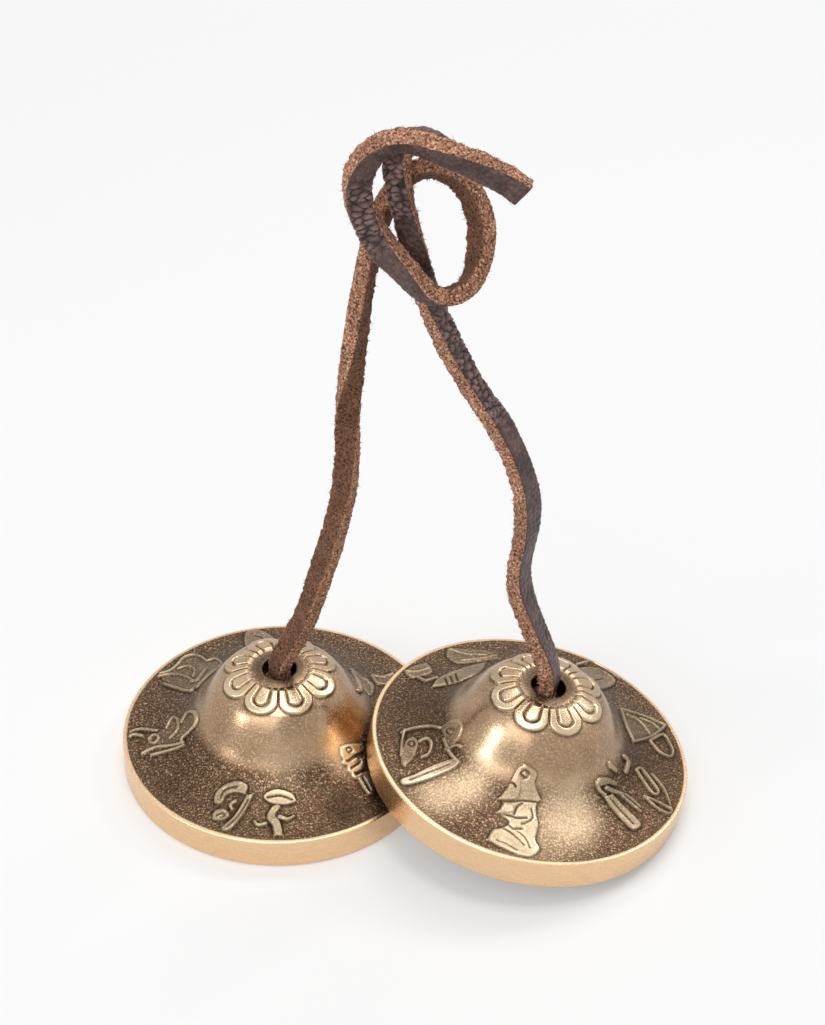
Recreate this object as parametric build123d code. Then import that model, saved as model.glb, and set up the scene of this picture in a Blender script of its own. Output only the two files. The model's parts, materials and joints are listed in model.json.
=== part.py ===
from build123d import *
import math
import os

# Tingsha cymbals: two cast bronze bells on two leather laces that are looped together at the top.
# Millimetres, +Z up, +X to the viewer's right, +Y away from the viewer.
# The origin is under the middle of the pair, on the surface they stand on.

# Driving dimensions of one cymbal
RIM_RADIUS = 32.5
RIM_HEIGHT = 6.5
RIM_EDGE = 0.4
BELL_HEIGHT = 24.0
HOLE_RADIUS = 3.4
CAP_RADIUS = 11.6
CAP_EDGE_HEIGHT = 21.2
CROWN_WALL = 3.6
FACE_INNER_RADIUS = 24.0

# Lotus ring round the hole
PETALS = 8
PETAL_RAISE = 0.4
PETAL_TIP_RADIUS = 2.9
PETAL_TIP_AT = 8.3
PETAL_ROOT_RADIUS = 0.9
PETAL_ROOT_AT = 6.0
GROOVE = 0.5

# Cast relief on the flanges: how high it stands, and the outlines of its main figures in the plan of each cymbal
RELIEF_RAISE = 0.45
LEFT_RELIEF = [
    [(-12.6, -19.4), (-10.8, -17.6), (-8.2, -17.2), (-6.2, -18.4), (-6.6, -20.2), (-8.6, -19.6), (-10.4, -20.2),
     (-11.2, -22.0), (-12.8, -21.6)],
    [(-6.4, -20.4), (-4.8, -20.0), (-6.6, -24.4), (-9.4, -29.0), (-11.2, -28.6), (-8.6, -25.2)],
    [(-12.6, -24.0), (-10.6, -23.4), (-9.6, -25.4), (-11.2, -26.4), (-13.0, -26.0)],
    [(-3.0, -20.6), (-0.6, -19.4), (2.6, -20.2), (3.8, -22.0), (1.6, -22.8), (-1.6, -22.4)],
    [(-1.0, -23.0), (0.6, -23.2), (-0.4, -25.4), (0.6, -27.2), (1.2, -30.6), (-0.6, -30.6), (-1.0, -28.0),
     (-2.2, -25.8)],
    [(-25.6, 16.6), (-22.0, 20.4), (-20.5, 22.3), (-18.4, 22.5), (-16.4, 20.7), (-14.5, 20.8), (-13.0, 19.3),
     (-16.3, 14.5), (-18.5, 10.8), (-21.1, 12.1), (-23.9, 13.8)],
    [(-28.0, -7.6), (-26.9, -3.1), (-23.5, 0.1), (-22.3, 2.5), (-18.8, 3.2), (-17.2, -0.2), (-17.5, -2.4),
     (-19.9, -4.2), (-19.7, -6.0), (-22.5, -6.6)],
    [(-8.5, 29.5), (-5.1, 30.4), (-2.0, 27.0), (-3.5, 22.0), (-7.5, 23.5)],
    [(14.1, 14.6), (16.4, 15.2), (18.9, 12.5), (18.1, 8.3), (15.6, 9.6)],
    [(18.4, 15.7), (23.0, 16.5), (21.8, 13.8), (19.7, 13.3)],
    [(12.3, -11.2), (16.6, -7.3), (16.9, -8.5), (13.5, -12.1)],
    [(13.9, -13.0), (17.1, -10.2), (16.7, -13.0), (14.5, -14.3)],
    [(15.9, -15.1), (18.7, -13.1), (19.2, -18.4), (18.0, -19.2)],
]
RIGHT_RELIEF = [
    [(-4.3, -14.9), (-2.5, -15.3), (-1.1, -16.0), (-1.4, -16.8), (0.7, -17.9), (-2.4, -17.9), (-4.2, -18.2),
     (-7.4, -18.6), (-6.6, -16.8), (-5.8, -15.8)],
    [(-7.4, -21.5), (-5.6, -18.8), (-3.7, -19.1), (0.0, -18.8), (0.6, -19.8), (-2.1, -20.0), (-3.8, -20.6),
     (-4.6, -21.7)],
    [(-9.2, -27.7), (-7.3, -25.2), (-5.4, -24.5), (-3.5, -26.2), (-2.2, -27.6), (-3.5, -29.4), (-5.5, -30.2),
     (-7.2, -29.1)],
    [(-0.7, -20.6), (0.5, -20.6), (0.6, -22.5), (0.3, -24.3), (0.8, -27.2), (0.6, -29.5), (-1.0, -31.0),
     (-1.6, -30.6), (-0.5, -28.7), (-0.6, -25.6), (-0.3, -22.7)],
    [(-26.7, -14.6), (-23.8, -12.7), (-20.4, -10.3), (-17.2, -9.1), (-15.4, -9.5), (-15.8, -10.9), (-18.9, -12.5),
     (-22.8, -14.6), (-25.8, -15.7)],
    [(-18.9, -0.5), (-17.2, 0.1), (-16.0, -2.2), (-15.5, -4.7), (-15.9, -5.8), (-17.3, -5.8), (-18.0, -4.0)],
    [(-26.7, -9.2), (-25.9, -4.2), (-24.2, -2.4), (-23.2, -4.2), (-23.9, -7.6), (-25.6, -10.5)],
    [(-20.3, 13.1), (-18.7, 16.2), (-13.4, 20.2), (-9.0, 22.6), (-9.6, 20.6), (-12.1, 17.2), (-17.3, 14.0)],
    [(-16.0, 25.4), (-13.8, 26.5), (-8.0, 26.8), (-6.2, 25.0), (-9.7, 23.4), (-14.4, 21.8), (-17.0, 23.1)],
    [(-24.8, 17.2), (-23.8, 19.2), (-21.2, 20.7), (-20.2, 18.1), (-23.8, 15.6)],
    [(9.5, 24.5), (14.2, 26.5), (18.5, 23.5), (15.5, 20.0), (11.5, 20.5)],
    [(19.2, 14.4), (27.8, 12.0), (24.9, 7.5), (21.2, 4.7)],
    [(24.9, 6.3), (27.7, 9.0), (29.8, 4.7), (28.9, 2.6), (26.3, 3.8)],
    [(14.1, -13.5), (15.8, -12.2), (21.6, -17.5), (20.7, -19.7), (19.2, -19.3)],
    [(17.5, -11.5), (21.8, -13.4), (22.0, -14.6), (20.4, -14.5)],
    [(21.3, -3.5), (22.4, -2.7), (25.8, -8.0), (24.8, -9.0)],
    [(22.7, -10.2), (27.4, -12.2), (27.0, -13.4), (23.9, -12.3)],
]

# How the pair stands: the left one flat, the right one leaning on the left one's bell
LEFT_X = -25.05
LEFT_Y = 5.66
LEAN_REACH = 17.0
RIGHT_STEP_X = RIM_RADIUS + LEAN_REACH
RIGHT_STEP_Y = -11.3
RIGHT_TILT = 10.67

# The laces, flat leather strip
LACE_WIDE = 5.0
LACE_THICK = 3.2
RUNNING_GAP = 0.4
PIVOT_RISE = 1.5

# Stop knots inside the bells
KNOT_RING_RADIUS = 3.3
KNOT_STRAND_RADIUS = 1.7
KNOT_TAIL_LONG = 6.0

# Where the right cymbal's base centre is when its low edge touches the surface
tilt = math.radians(RIGHT_TILT)
RIGHT_X = LEFT_X + RIGHT_STEP_X
RIGHT_Y = LEFT_Y + RIGHT_STEP_Y
RIGHT_Z = (RIM_RADIUS - RIM_EDGE) * math.sin(tilt) + RIM_EDGE * (1 - math.cos(tilt))

LEFT_BASE = Location((LEFT_X, LEFT_Y, 0))
RIGHT_BASE = Location((RIGHT_X, RIGHT_Y, RIGHT_Z), (0, RIGHT_TILT, 0))

# Hinge points, just above the mouths of the two holes
HINGE_UP = Location((0, 0, BELL_HEIGHT + PIVOT_RISE))
LEFT_HINGE = (LEFT_BASE * HINGE_UP).position
RIGHT_HINGE = (RIGHT_BASE * HINGE_UP).position

# The laces stand in one upright plane through both hinge points
ACROSS = Vector(RIGHT_HINGE.X - LEFT_HINGE.X, RIGHT_HINGE.Y - LEFT_HINGE.Y, 0).normalized()
HINGE_AXIS = Vector(0, 0, 1).cross(ACROSS)

# Route of the left lace: up from the left hole, round one loop and out to its free end
LEFT_ROUTE = [
    (LEFT_HINGE.X, LEFT_HINGE.Y, LEFT_HINGE.Z),
    (-19.8, 4.6, 37.0),
    (-16.3, 3.9, 50.0),
    (-12.5, 3.1, 65.0),
    (-10.4, 2.6, 79.0),
    (-10.6, 2.7, 93.0),
    (-9.1, 2.5, 106.0),
    (-7.8, 3.0, 117.5),
    (-6.0, 4.9, 128.0),
    (-3.3, 6.2, 137.5),
    (2.2, 5.0, 146.3),
    (9.2, 3.2, 146.6),
    (13.6, 1.0, 141.2),
    (14.6, -2.0, 134.5),
    (12.6, -5.0, 126.2),
    (5.8, -6.1, 124.4),
    (0.6, -5.2, 130.2),
    (-4.6, -3.4, 135.8),
    (-9.0, -2.4, 145.0),
    (-7.4, -2.6, 154.0),
    (-0.8, -3.9, 159.4),
    (6.7, -5.5, 157.3),
    (13.2, -6.9, 154.5),
    (18.2, -7.9, 152.3),
    (21.4, -8.6, 149.7),
]

# Route of the right lace's leg: from the right hole up to where it passes behind the loop
RIGHT_LEG_ROUTE = [
    (RIGHT_HINGE.X, RIGHT_HINGE.Y, RIGHT_HINGE.Z),
    (28.4, -5.5, 36.5),
    (24.8, -4.8, 46.0),
    (21.8, -4.2, 57.0),
    (23.8, -4.6, 68.0),
    (24.0, -4.7, 78.0),
    (19.8, -3.8, 91.0),
    (11.9, -2.1, 103.5),
    (5.5, -0.75, 118.2),
]

# Route of the right lace's tail: up through the loop, over and out behind the left lace's end
RIGHT_TAIL_ROUTE = [
    RIGHT_LEG_ROUTE[-1],
    (2.1, -0.1, 131.0),
    (-1.2, 0.6, 144.5),
    (-1.8, 0.8, 152.0),
    (2.8, -0.1, 157.0),
    (9.8, -1.5, 155.3),
    (16.6, -2.9, 152.2),
]


def bend_radii(points):
    """One radius for each inner point: 0.45 of the shorter run over the tangent of half the turn."""
    radii = []
    for before, here, after in zip(points, points[1:], points[2:]):
        first = Vector(*here) - Vector(*before)
        second = Vector(*after) - Vector(*here)
        half_turn = math.radians(first.get_angle(second)) / 2
        shorter = min(first.length, second.length)
        radii.append(0.45 * shorter / math.tan(half_turn))
    return radii


def lace(name, points):
    """A flat strip of leather along a route, its broad side in the plane of the two laces."""
    radii = bend_radii(points)
    path = FilletPolyline(*points, radius=radii)
    start = path.position_at(0)
    along = path.tangent_at(0)
    section_plane = Plane(origin=start, x_dir=HINGE_AXIS.cross(along), z_dir=along)
    section = section_plane * Rectangle(LACE_WIDE, LACE_THICK)
    guide = Wire(path.edges()).moved(Location(HINGE_AXIS * 20))
    strip = sweep(section, path=path, binormal=guide)
    ideal = LACE_WIDE * LACE_THICK * path.length
    print(name, "bend radii", [round(r, 1) for r in radii])
    print(name, "length", round(path.length, 1), "volume over ideal", round(strip.volume / ideal, 4))
    return strip


def hinge_round(point):
    """The rounded end of a lace, turned about the hinge axis through the point."""
    end_plane = Plane(origin=point, z_dir=HINGE_AXIS)
    return end_plane * Cylinder(LACE_WIDE / 2, LACE_THICK)


def crown_line(raise_by):
    """The cap's outline from the hole to its edge, raised by some height."""
    top = (HOLE_RADIUS, BELL_HEIGHT + raise_by)
    middle = (CAP_RADIUS * 0.66, BELL_HEIGHT - 1.05 + raise_by)
    edge = (CAP_RADIUS, CAP_EDGE_HEIGHT + raise_by)
    return top, middle, edge


def bell_body():
    """The turned form of one cymbal: cap, bell, flange, thick rim and the hollow under the bell."""
    top, middle, edge = crown_line(0)
    flange_out = (RIM_RADIUS - 2, RIM_HEIGHT + 0.1)
    inner_crown = (6.0, BELL_HEIGHT - CROWN_WALL)
    with BuildPart() as bell:
        with BuildSketch(Plane.XZ):
            with BuildLine():
                ThreePointArc(top, middle, edge)
                Spline(
                    edge,
                    (13.4, 19.2),
                    (15.1, 16.2),
                    (16.4, 13.2),
                    (17.5, 10.6),
                    (20.2, 8.5),
                    flange_out,
                    tangents=[(1, -0.74), (1, -0.06)],
                )
                Line(flange_out, (RIM_RADIUS, RIM_HEIGHT))
                Line((RIM_RADIUS, RIM_HEIGHT), (RIM_RADIUS, 0))
                Line((RIM_RADIUS, 0), (FACE_INNER_RADIUS, 0))
                Spline(
                    (FACE_INNER_RADIUS, 0),
                    (18.0, 3.4),
                    (14.0, 9.0),
                    (10.6, 16.0),
                    inner_crown,
                    tangents=[(-1, 0.25), (-1, 0.1)],
                )
                Line(inner_crown, (HOLE_RADIUS, BELL_HEIGHT - CROWN_WALL))
                Line((HOLE_RADIUS, BELL_HEIGHT - CROWN_WALL), top)
            make_face()
        revolve(axis=Axis.Z)
        rims = bell.edges().filter_by(GeomType.CIRCLE).filter_by(lambda e: abs(e.radius - RIM_RADIUS) < 0.01)
        fillet(rims, RIM_EDGE)
        mouths = bell.edges().filter_by(GeomType.CIRCLE).filter_by(lambda e: abs(e.radius - HOLE_RADIUS) < 0.01)
        fillet(mouths, RIM_EDGE)
    return bell.part


def petal_outline(shrink):
    """The plan of one petal, pointing along +X, drawn in by some width."""
    tip = Pos(PETAL_TIP_AT, 0) * Circle(PETAL_TIP_RADIUS - shrink)
    root = Pos(PETAL_ROOT_AT, 0) * Circle(max(PETAL_ROOT_RADIUS - shrink * 0.4, 0.3))
    return make_hull((tip + root).edges())


def petal_ring():
    """Eight raised petals, each with a sunk groove that leaves a smaller petal inside it."""
    top, middle, edge = crown_line(PETAL_RAISE)
    low = CAP_EDGE_HEIGHT - 0.6
    with BuildPart() as layer:
        with BuildSketch(Plane.XZ):
            with BuildLine():
                ThreePointArc(top, middle, edge)
                Polyline(edge, (CAP_RADIUS, low), (HOLE_RADIUS, BELL_HEIGHT - 1), top)
            make_face()
        revolve(axis=Axis.Z)
    petal = petal_outline(0) - petal_outline(1.2) + petal_outline(1.2 + GROOVE)
    prism = Pos(0, 0, low) * extrude(petal, amount=BELL_HEIGHT)
    petals = []
    for index in range(PETALS):
        turned = Rot(0, 0, 360 / PETALS * (index + 0.5)) * prism
        petals.append(layer.part & turned)
    return petals


def relief(outlines):
    """The cast figures of one flange, each standing up from the bell's foot and the flange."""
    spread = (RIM_RADIUS - 22.2) / 10.3
    grow = RIM_RADIUS / 32.5
    skin = [(15.1, 17.2), (15.55, 16.4), (16.85, 13.4), (17.9, 10.95), (18.9, 9.75), (20.4, 8.95)]
    for out, high in ((22.1, 8.25), (24.1, 7.72), (27.0, 7.3)):
        skin.append((20.2 + (out - 20.2) * spread, high))
    rim_side = RIM_RADIUS - 1.3
    skin.append((rim_side, RIM_HEIGHT + 0.1 + RELIEF_RAISE))
    under = [(rim_side, RIM_HEIGHT - 0.8), (20.0, 7.6), (17.0, 10.0), (16.0, 13.0), (14.6, 16.5)]
    with BuildPart() as layer:
        with BuildSketch(Plane.XZ):
            with BuildLine():
                Polyline(*skin, *under, close=True)
            make_face()
        revolve(axis=Axis.Z)
    figures = []
    for outline in outlines:
        plan = Polygon(*[(x * grow, y * grow) for x, y in outline], align=None)
        figures.append(layer.part & extrude(plan, amount=BELL_HEIGHT, both=True))
    return figures


def cymbal(outlines):
    """One cymbal at the origin, standing on its flat ring face."""
    solid = bell_body()
    for raised in petal_ring() + relief(outlines):
        solid = solid + raised
    return solid


def stop_knot():
    """The knotted end of a lace under the crown, seen with the hole's mouth at the origin."""
    neck_top = PIVOT_RISE - LACE_WIDE / 2 - RUNNING_GAP
    ring_height = -CROWN_WALL - RUNNING_GAP - KNOT_STRAND_RADIUS
    second_height = ring_height - 1.5 * KNOT_STRAND_RADIUS
    neck_long = neck_top - second_height
    neck = Pos(0, 0, neck_top - neck_long / 2) * Box(LACE_WIDE, LACE_THICK, neck_long)
    ring = Pos(0, 0, ring_height) * Torus(KNOT_RING_RADIUS, KNOT_STRAND_RADIUS)
    second = Pos(0, 0, second_height) * Rot(28, 0, 0) * Torus(KNOT_RING_RADIUS - 0.7, KNOT_STRAND_RADIUS)
    tail = Pos(0, 0, second_height) * Rot(0, 22, 0) * Pos(0, 0, -KNOT_TAIL_LONG / 2)
    tail = tail * Box(LACE_WIDE, LACE_THICK, KNOT_TAIL_LONG)
    return neck + ring + second + tail


def in_lace_plane(base):
    """A frame at the mouth of a hole, its X axis lying in the plane of the two laces."""
    mouth = base * Location((0, 0, BELL_HEIGHT))
    up = Plane(mouth).z_dir
    return Plane(origin=mouth.position, x_dir=HINGE_AXIS.cross(up), z_dir=up)


def left_lace():
    """The left lace with its rounded lower end on the left hinge point."""
    return lace("left_lace", LEFT_ROUTE) + hinge_round(LEFT_HINGE)


def right_lace_leg():
    """The standing leg of the right lace, rounded at the hole and where it bends at the loop."""
    strip = lace("right_lace_leg", RIGHT_LEG_ROUTE)
    return strip + hinge_round(RIGHT_HINGE) + hinge_round(RIGHT_LEG_ROUTE[-1])


def right_lace_tail():
    """The part of the right lace held in the loop, cut square just above the leg's rounded end."""
    first = Vector(*RIGHT_TAIL_ROUTE[0])
    along = (Vector(*RIGHT_TAIL_ROUTE[1]) - first).normalized()
    start = first + along * (LACE_WIDE / 2 + RUNNING_GAP)
    return lace("right_lace_tail", [(start.X, start.Y, start.Z)] + RIGHT_TAIL_ROUTE[1:])


pieces = {
    "left_cymbal": LEFT_BASE * cymbal(LEFT_RELIEF),
    "right_cymbal": RIGHT_BASE * cymbal(RIGHT_RELIEF),
    "left_stop_knot": in_lace_plane(LEFT_BASE) * stop_knot(),
    "right_stop_knot": in_lace_plane(RIGHT_BASE) * stop_knot(),
    "left_lace": left_lace(),
    "right_lace_leg": right_lace_leg(),
    "right_lace_tail": right_lace_tail(),
}

os.makedirs("parts", exist_ok=True)
for name, shape in pieces.items():
    export_step(shape, f"parts/{name}.step")
    box = shape.bounding_box()
    print(name, "valid", shape.is_valid, "solids", len(shape.solids()), "volume", round(shape.volume, 1))
    print(name, "box", [round(v, 2) for v in (*box.min, *box.max)])

print("left hinge", [round(v, 3) for v in LEFT_HINGE])
print("right hinge", [round(v, 3) for v in RIGHT_HINGE])
print("loop hinge", RIGHT_LEG_ROUTE[-1])
print("hinge axis", [round(v, 5) for v in HINGE_AXIS])
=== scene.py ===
"""Tingsha cymbals: two cast bronze bells on leather laces that are looped together above them."""
import json
import math

import bpy
import numpy as np
from mathutils import Matrix, Vector


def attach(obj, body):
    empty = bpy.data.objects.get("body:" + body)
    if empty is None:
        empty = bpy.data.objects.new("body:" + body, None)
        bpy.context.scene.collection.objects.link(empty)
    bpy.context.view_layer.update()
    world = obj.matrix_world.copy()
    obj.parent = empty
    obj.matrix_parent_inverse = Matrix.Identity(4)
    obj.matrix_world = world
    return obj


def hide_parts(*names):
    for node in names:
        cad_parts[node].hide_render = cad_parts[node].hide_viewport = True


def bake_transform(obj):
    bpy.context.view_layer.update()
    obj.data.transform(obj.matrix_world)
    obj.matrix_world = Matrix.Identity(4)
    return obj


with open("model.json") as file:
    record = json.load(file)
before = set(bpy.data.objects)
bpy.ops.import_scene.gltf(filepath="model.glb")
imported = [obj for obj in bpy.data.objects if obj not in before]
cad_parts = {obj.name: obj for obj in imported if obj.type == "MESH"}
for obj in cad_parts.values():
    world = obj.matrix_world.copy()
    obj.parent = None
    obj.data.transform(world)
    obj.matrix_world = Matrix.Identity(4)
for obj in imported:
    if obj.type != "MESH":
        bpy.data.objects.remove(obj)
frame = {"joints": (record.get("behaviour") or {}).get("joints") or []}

bl_info = {
    "name": "Tingsha Cymbals",
    "version": (1, 0, 0),
    "blender": (4, 5, 0),
    "location": "View3D > Sidebar > Tingsha",
    "description": "Casts the two cymbals, threads their leather laces and sets the studio",
    "category": "Add Mesh",
}

MM = 0.001
UP = Vector((0, 0, 1))
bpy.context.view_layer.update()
JOINTS = {joint["name"]: joint for joint in frame["joints"]}
LEFT_MOUTH = Vector(JOINTS["left_swivel"]["pos_m"])
LEFT_HINGE = Vector(JOINTS["left_lace_bend"]["pos_m"])
RIGHT_HINGE = Vector(JOINTS["right_lace_bend"]["pos_m"])
RIGHT_UP = Vector(JOINTS["right_swivel"]["axis"]).normalized()
BEND_AXIS = Vector(JOINTS["right_lace_bend"]["axis"]).normalized()

# The cymbal's turned outline as radius and height in mm: the bell's wall from the cap's edge to the flange,
# and the hollow from the flat face to the roof
WALL = [
    (11.6, 21.2), (13.4, 19.2), (15.1, 16.3), (16.5, 13.8),
    (18.8, 11.1), (22.0, 9.0), (26.0, 7.55), (30.5, 6.6),
]
HOLLOW = [(24.0, 0.0), (18.0, 3.4), (14.0, 9.0), (10.6, 16.0), (6.0, 20.4)]
# The lotus in mm: where a petal's round end begins and how long it is, and where it rises from the hole
PETAL_MIDDLE, PETAL_LONG = 8.8, 3.0
PETAL_START, PETAL_FULL = 5.6, 6.8
# The groove round a petal's tongue, as shares of the petal's half width
GROOVE_AT, GROOVE_WIDE = 0.42, 0.075
# In metres: how far the right hinge stands above its cymbal's mouth, and where the right lace's pieces meet
RIGHT_HINGE_RISE = 0.0015
RIGHT_SPLICE_HEIGHT = 0.082

# Routes of the laces, in metres
LEFT_ROUTE = [
    (-0.0198, 0.0046, 0.0370), (-0.0163, 0.0039, 0.0500), (-0.0125, 0.0031, 0.0650),
    (-0.0104, 0.0026, 0.0790), (-0.0106, 0.0027, 0.0930), (-0.0091, 0.0025, 0.1060),
    (-0.0078, 0.0030, 0.1175), (-0.0060, 0.0049, 0.1280), (-0.0033, 0.0062, 0.1375),
    (0.0022, 0.0050, 0.1463), (0.0092, 0.0032, 0.1466), (0.0136, 0.0010, 0.1412),
    (0.0146, -0.0020, 0.1345), (0.0126, -0.0050, 0.1262), (0.0058, -0.0061, 0.1244),
    (0.0006, -0.0052, 0.1302), (-0.0046, -0.0034, 0.1358), (-0.0087, -0.0024, 0.1450),
    (-0.0068, -0.0026, 0.1535), (-0.0008, -0.0039, 0.1584), (0.0067, -0.0055, 0.1567),
    (0.0132, -0.0069, 0.1545), (0.0182, -0.0079, 0.1523), (0.0214, -0.0086, 0.1497),
]
# How far the grain side is turned from the front at each point of a route, in degrees
LEFT_TURNS = [
    226, 226, 222, 214, 196, 174, 116, 104, 103, 110, 128, 148, 154,
    144, 90, 38, 16, 0, -22, -40, -36, -26, -14, 0, 8,
]
RIGHT_ROUTE = [
    (0.0284, -0.0055, 0.0365), (0.0248, -0.0048, 0.0460), (0.0218, -0.0042, 0.0570),
    (0.0238, -0.0046, 0.0680), (0.0240, -0.0047, 0.0780), (0.0198, -0.0038, 0.0910),
    (0.0119, -0.0021, 0.1035), (0.0055, -0.00075, 0.1182), (0.0021, -0.0001, 0.1310),
    (-0.0007, 0.0006, 0.1445), (-0.0011, 0.0008, 0.1527), (0.0032, -0.0001, 0.1560),
    (0.0080, -0.0011, 0.1534), (0.0115, -0.0019, 0.1500),
]
RIGHT_TURNS = [-85, -85, -80, -70, -64, -64, -72, -74, -66, -22, 2, 22, 70, 90, 90]
# Where the grain is bent and creased, with deeper cracks and painted highlights on its pebble tops: a place
# and how far round it
LEFT_CREASES = [((-0.0075, -0.0030, 0.1415), 0.0095)]
RIGHT_CREASES = [((0.0105, -0.0018, 0.1060), 0.018), ((-0.0012, 0.0006, 0.1450), 0.0085)]


class CymbalSettings(bpy.types.PropertyGroup):
    """Sizes of one cymbal's casting."""
    rim_radius: bpy.props.FloatProperty(
        name="Rim radius", description="Radius of the thick turned rim", default=0.0325, unit="LENGTH")
    rim_height: bpy.props.FloatProperty(
        name="Rim height", description="Height of the turned rim", default=0.0065, unit="LENGTH")
    bell_height: bpy.props.FloatProperty(
        name="Bell height", description="Height of the hole's mouth above the flat face", default=0.024,
        unit="LENGTH")
    hole_radius: bpy.props.FloatProperty(
        name="Hole radius", description="Radius of the hole for the lace", default=0.0034, unit="LENGTH")
    petals: bpy.props.IntProperty(
        name="Petals", description="Petals of the lotus round the hole", default=8, min=3)
    petal_raise: bpy.props.FloatProperty(
        name="Petal height", description="How far the petals stand up", default=0.00055, unit="LENGTH")
    relief: bpy.props.FloatProperty(
        name="Relief height", description="How far the flange's ornament stands up", default=0.0005,
        unit="LENGTH")
    spokes: bpy.props.IntProperty(
        name="Turns", description="Mesh columns round the cymbal", default=840, min=64)


class LaceSettings(bpy.types.PropertyGroup):
    """Sizes of the leather strip."""
    width: bpy.props.FloatProperty(
        name="Width", description="Width of the strip", default=0.005, unit="LENGTH")
    thickness: bpy.props.FloatProperty(
        name="Thickness", description="Thickness of the strip", default=0.0032, unit="LENGTH")
    pebble: bpy.props.FloatProperty(
        name="Grain size", description="Width of one pebble of the grain", default=0.0011, unit="LENGTH")
    fibre: bpy.props.FloatProperty(
        name="Fibre length", description="Longest loose fibre on a cut edge", default=0.0011, unit="LENGTH")


class FinishSettings(bpy.types.PropertyGroup):
    """Colours of the bronze and the leather."""
    patina: bpy.props.FloatVectorProperty(
        name="Patina", description="Dark ground of the flange", subtype="COLOR", size=3,
        default=(0.095, 0.060, 0.033))
    bronze: bpy.props.FloatVectorProperty(
        name="Bronze", description="Rubbed bronze of the bell", subtype="COLOR", size=3,
        default=(0.42, 0.27, 0.162))
    # Bright bronze is also the colour of the painted glints and painted highlights
    bright: bpy.props.FloatVectorProperty(
        name="Bright bronze", description="Polished tops of the relief", subtype="COLOR", size=3,
        default=(0.76, 0.61, 0.41))
    rim: bpy.props.FloatVectorProperty(
        name="Turned rim", description="Freshly turned metal of the rim", subtype="COLOR", size=3,
        default=(0.88, 0.60, 0.36))
    grain: bpy.props.FloatVectorProperty(
        name="Leather grain", description="Dyed grain side of the lace", subtype="COLOR", size=3,
        default=(0.047, 0.0215, 0.0185))
    edge: bpy.props.FloatVectorProperty(
        name="Cut leather", description="Raw cut edges of the lace", subtype="COLOR", size=3,
        default=(0.45, 0.22, 0.13))
    flesh: bpy.props.FloatVectorProperty(
        name="Leather flesh", description="Rough inner side of the lace", subtype="COLOR", size=3,
        default=(0.22, 0.105, 0.062))


class StudioSettings(bpy.types.PropertyGroup):
    """Camera and floor."""
    camera_at: bpy.props.FloatVectorProperty(
        name="Camera", description="Camera position", subtype="XYZ", unit="LENGTH", size=3,
        default=(0.00184, -0.5172, 0.50099))
    camera_dip: bpy.props.FloatProperty(
        name="Camera dip", description="Angle of the camera below level", subtype="ANGLE",
        default=math.radians(39.842))
    lens: bpy.props.FloatProperty(
        name="Lens", description="Focal length in millimetres", default=122.93, min=10)
    floor: bpy.props.FloatVectorProperty(
        name="Floor", description="Pale studio floor", subtype="COLOR", size=3, default=(0.93, 0.93, 0.93))


def smooth_step(low, high, value):
    """Rises from 0 at low to 1 at high with no corner."""
    part = np.clip((value - low) / (high - low), 0, 1)
    return part * part * (3 - 2 * part)


# Unit squares after which a table of random values repeats
CELLS = 64


def lattice_noise(u, v, seed):
    """Smooth values from 0 to 1 over a plane, one free value for each unit square."""
    table = np.random.default_rng(seed).random((CELLS, CELLS))
    iu, iv = np.floor(u).astype(int), np.floor(v).astype(int)
    fu, fv = u - iu, v - iv
    fu, fv = fu * fu * (3 - 2 * fu), fv * fv * (3 - 2 * fv)
    left, right = iu % CELLS, (iu + 1) % CELLS
    here, after = iv % CELLS, (iv + 1) % CELLS
    top = table[left, here] * (1 - fu) + table[right, here] * fu
    low = table[left, after] * (1 - fu) + table[right, after] * fu
    return top * (1 - fv) + low * fv


def pebbles(u, v, seed):
    """Distance to the nearest and the second nearest of scattered points, one in each unit square."""
    table = np.random.default_rng(seed).random((CELLS, CELLS, 2))
    iu, iv = np.floor(u).astype(int), np.floor(v).astype(int)
    first = np.full(u.shape, 9.0)
    second = np.full(u.shape, 9.0)
    for du in (-1, 0, 1):
        for dv in (-1, 0, 1):
            spot = table[(iu + du) % CELLS, (iv + dv) % CELLS]
            gap = np.hypot(iu + du + spot[..., 0] - u, iv + dv + spot[..., 1] - v)
            second = np.minimum(second, np.maximum(first, gap))
            first = np.minimum(first, gap)
    return first, second


def grid_mesh(name, points, wrap_rows):
    """A mesh of quads over rows of points, closed round each row, and from last row to first if asked."""
    rows, columns = points.shape[:2]
    row = np.arange(rows if wrap_rows else rows - 1)[:, None]
    column = np.arange(columns)[None, :]
    after_row, after_column = (row + 1) % rows, (column + 1) % columns
    quads = np.stack([
        row * columns + column, row * columns + after_column,
        after_row * columns + after_column, after_row * columns + column], axis=-1).reshape(-1, 4)
    mesh = bpy.data.meshes.new(name)
    mesh.from_pydata(points.reshape(-1, 3).tolist(), [], quads.tolist())
    return mesh


def write_values(mesh, **values):
    """Keeps one number for each vertex under each name."""
    for name, numbers in values.items():
        layer = mesh.attributes.new(name, "FLOAT", "POINT")
        layer.data.foreach_set("value", np.ascontiguousarray(numbers, dtype=np.float32).ravel())


def shade_smooth(mesh):
    mesh.polygons.foreach_set("use_smooth", np.ones(len(mesh.polygons), dtype=bool))
    mesh.update()


def place(name, mesh, *materials):
    obj = bpy.data.objects.new(name, mesh)
    for material in materials:
        mesh.materials.append(material)
    bpy.context.scene.collection.objects.link(obj)
    return obj


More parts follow.
